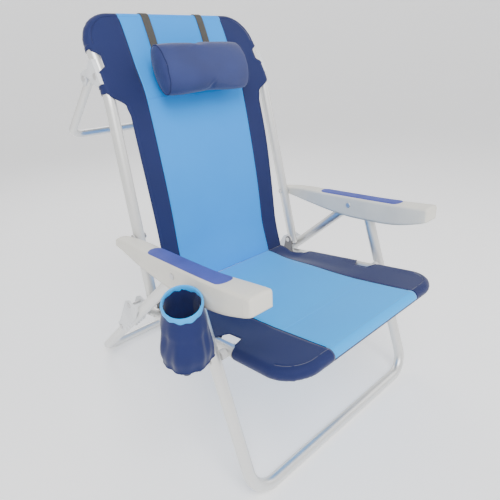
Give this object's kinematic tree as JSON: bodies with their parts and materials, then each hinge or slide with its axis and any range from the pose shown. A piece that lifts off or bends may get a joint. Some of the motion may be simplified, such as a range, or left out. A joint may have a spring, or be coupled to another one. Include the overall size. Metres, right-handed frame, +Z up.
{
  "type": "folding beach chair",
  "caption": "Low folding beach chair with aluminium tube frame, fabric sling seat and back, head pillow, moulded armrests, towel bar and hanging cup pouch.",
  "frame": {"origin": "on the floor below the middle of the front floor bar", "axes": "+Z up; the sitter faces -Y; +X is to the sitter's left, so the cup pouch hangs on the -X side"},
  "size_m": [0.6708, 0.8092, 0.9116],
  "materials": {
    "aluminium_tube": "satin",
    "zinc_fasteners": "satin",
    "dark_steel": "satin",
    "black_plastic": "matte",
    "grey_plastic": "matte",
    "white_plastic": "satin",
    "armrest_plastic": "satin",
    "inlay_blue": "matte",
    "cyan_fabric": "woven",
    "back_fabric": "woven",
    "navy_fabric": "woven",
    "elastic": "woven"
  },
  "bodies": {
    "seat": {"seat_frame": "aluminium_tube", "seat_cross_bar": "aluminium_tube", "strap_rivets": "zinc_fasteners", "hinge_bolts": "zinc_fasteners", "seat_tube_plugs": "black_plastic", "lock_studs": "black_plastic", "front_pivot_spacers": "grey_plastic", "front_pivot_bolts": "zinc_fasteners", "seat_fabric": "cyan_fabric", "hinge_strap_left": "dark_steel", "hinge_strap_right": "dark_steel", "hinge_washer_left": "grey_plastic", "hinge_washer_right": "grey_plastic"},
    "back": {"back_frame": "aluminium_tube", "back_tube_plugs": "black_plastic", "arm_pivot_bolts": "zinc_fasteners", "arm_pivot_spacers": "grey_plastic", "back_fabric": "back_fabric", "pillow_elastics": "elastic", "bracket_rivets": "zinc_fasteners", "towel_bracket_left": "white_plastic", "towel_bracket_right": "white_plastic"},
    "towel_bar": {"towel_bar": "aluminium_tube", "towel_bar_plugs": "black_plastic"},
    "pillow": {"pillow": "navy_fabric"},
    "armrests": {"armrest_shell_left": "armrest_plastic", "armrest_shell_right": "armrest_plastic", "armrest_inlay_left": "inlay_blue", "armrest_inlay_right": "inlay_blue", "rear_leg_bolts": "zinc_fasteners", "arm_bracket_left": "dark_steel", "arm_bracket_right": "dark_steel", "arm_bracket_rivets": "zinc_fasteners", "cup_pouch": "navy_fabric", "cup_rim": "cyan_fabric", "cup_snaps": "zinc_fasteners"},
    "front_leg": {"front_leg": "aluminium_tube", "front_leg_plugs": "black_plastic", "front_leg_pins": "zinc_fasteners"},
    "rear_leg": {"rear_leg": "aluminium_tube", "rear_leg_plugs": "black_plastic", "rack_left": "white_plastic", "rack_right": "white_plastic", "rack_rivets": "zinc_fasteners"}
  },
  "joints": [
    {"name": "back_fold", "type": "hinge", "parent": "seat", "child": "back", "pos_m": [0, 0.3715, 0.303], "axis": [1, 0, 0], "range_deg": [-30, 85]},
    {"name": "front_leg_fold", "type": "hinge", "parent": "seat", "child": "front_leg", "pos_m": [0, 0.0963, 0.29409], "axis": [1, 0, 0], "range_deg": [-30, 85]},
    {"name": "armrest_fold", "type": "hinge", "parent": "back", "child": "armrests", "pos_m": [0, 0.40037, 0.44591], "axis": [1, 0, 0], "range_deg": [-91, 33]},
    {"name": "rear_leg_fold", "type": "hinge", "parent": "armrests", "child": "rear_leg", "pos_m": [0, 0.18296, 0.443], "axis": [1, 0, 0], "range_deg": [-11, 30]},
    {"name": "towel_bar_swing", "type": "hinge", "parent": "back", "child": "towel_bar", "pos_m": [0, 0.54017, 0.77832], "axis": [1, 0, 0], "range_deg": [-55, 30]},
    {"name": "pillow_slide", "type": "slide", "parent": "back", "child": "pillow", "axis": [0, 0.4756, 0.8796], "range_m": [-0.03, 0.04]}
  ],
  "couplings": [
    {"joint": "front_leg_fold", "follows": "back_fold", "ratio": 0.99},
    {"joint": "armrest_fold", "follows": "back_fold", "ratio": -1.06},
    {"joint": "rear_leg_fold", "follows": "back_fold", "ratio": 0.34}
  ]
}
